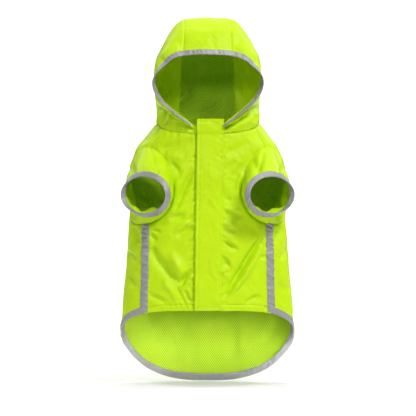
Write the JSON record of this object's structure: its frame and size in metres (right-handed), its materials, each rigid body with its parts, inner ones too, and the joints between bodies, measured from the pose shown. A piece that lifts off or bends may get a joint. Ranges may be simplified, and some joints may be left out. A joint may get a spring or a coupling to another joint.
{
  "type": "dog raincoat",
  "caption": "Hooded dog raincoat with short sleeves, a front flap over the closure, reflective bound edges and side tapes, and a mesh-lined back with a longer rounded tail.",
  "frame": {"origin": "on the inner face of the back panel, at the middle of the back neck seam, where the wearer's neck carries the coat", "axes": "+Z from the tail to the hood, -Y to the belly side with the front flap, +X to the right when the flap is seen from outside"},
  "size_m": [0.2814, 0.1628, 0.5802],
  "materials": {
    "shell": "plain woven coated nylon in bright lime, slightly glossy",
    "lining": "fine knitted mesh in lime, matt",
    "reflective": "grey retroreflective woven tape, satin"
  },
  "bodies": {
    "root": {"hood_center": "shell", "hood_left": "shell", "hood_right": "shell", "hood_lining": "lining", "hood_binding": "reflective", "belly_left": "shell", "belly_right": "shell", "back_panel": "shell", "back_lining": "lining", "sleeve_left": "shell", "sleeve_right": "shell", "cuff_binding_left": "reflective", "cuff_binding_right": "reflective", "flap": "shell", "side_tape_left": "reflective", "side_tape_right": "reflective", "hem_binding": "reflective"}
  },
  "joints": []
}
